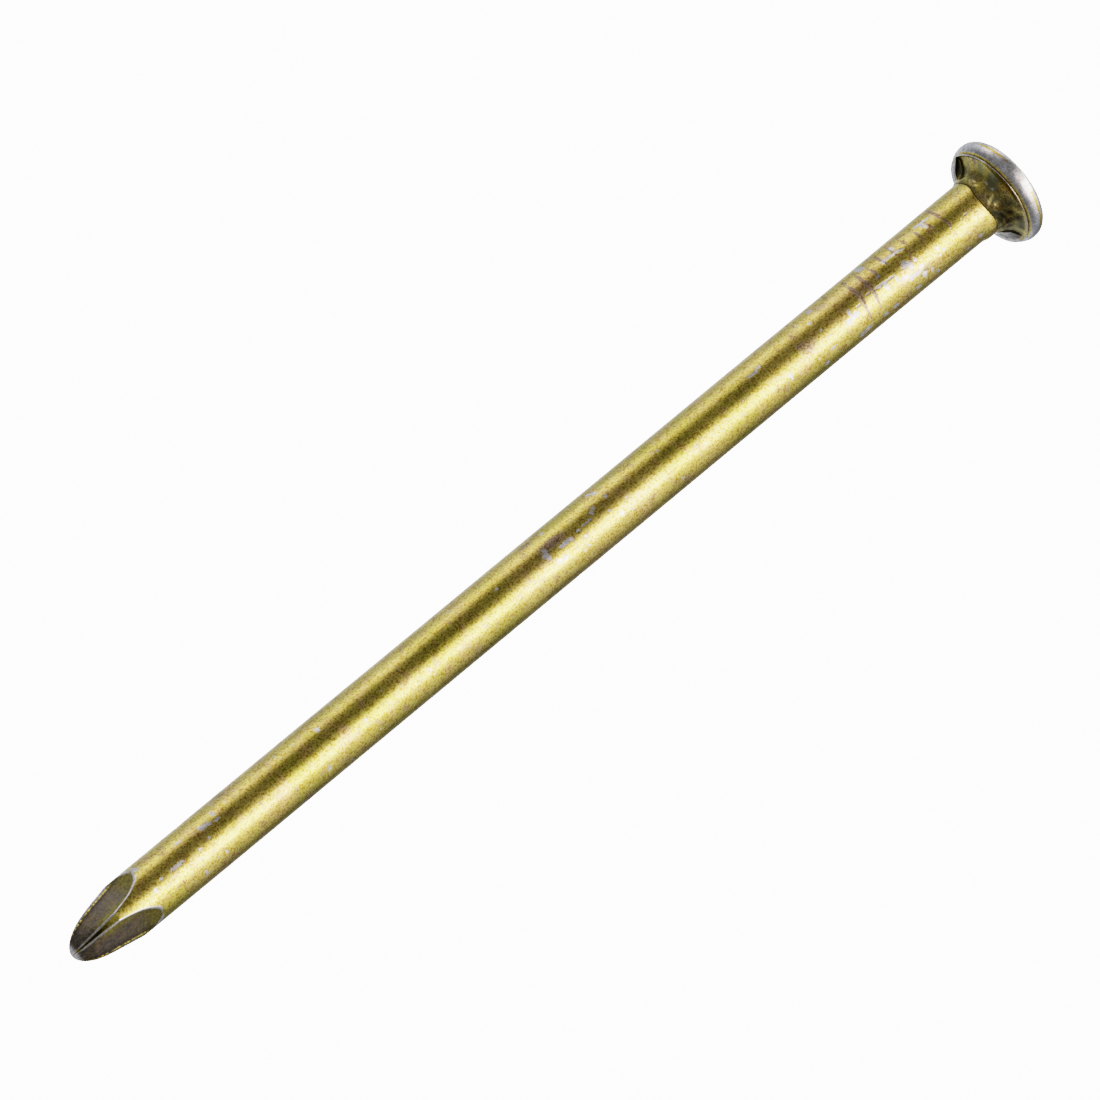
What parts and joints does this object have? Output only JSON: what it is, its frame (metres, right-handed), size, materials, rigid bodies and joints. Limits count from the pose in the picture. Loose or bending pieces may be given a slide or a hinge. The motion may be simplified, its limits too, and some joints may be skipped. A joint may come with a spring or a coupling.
{
  "type": "masonry nail",
  "caption": "Straight round-wire nail with a thick rounded head on a flared neck, gripper marks near the head and a blunt faceted point; driven into masonry, concrete or timber.",
  "frame": {"origin": "centre of the head's striking face", "axes": "+Z along the nail's axis out of the head, so the point is towards -Z; +X and -X through the parting line of the dies, +Y and -Y through the narrow strips of wire left between the facets of the point"},
  "size_m": [0.0072, 0.0072, 0.08],
  "materials": {
    "yellow_zinc": "zinc plated and yellow passivated drawn steel wire, satin, with small bare-zinc chips and faint mauve interference stains",
    "worn_zinc": "the same plating tumbled down to silver-grey zinc on the head's rounded rim, with gold left in patches",
    "cut_point": "pinched facets of the point, dark bronze-grey passivation with bright worn ridges"
  },
  "bodies": {
    "root": {"head": "worn_zinc", "neck": "yellow_zinc", "grip_zone": "yellow_zinc", "shank": "yellow_zinc", "point": "cut_point"}
  },
  "joints": []
}
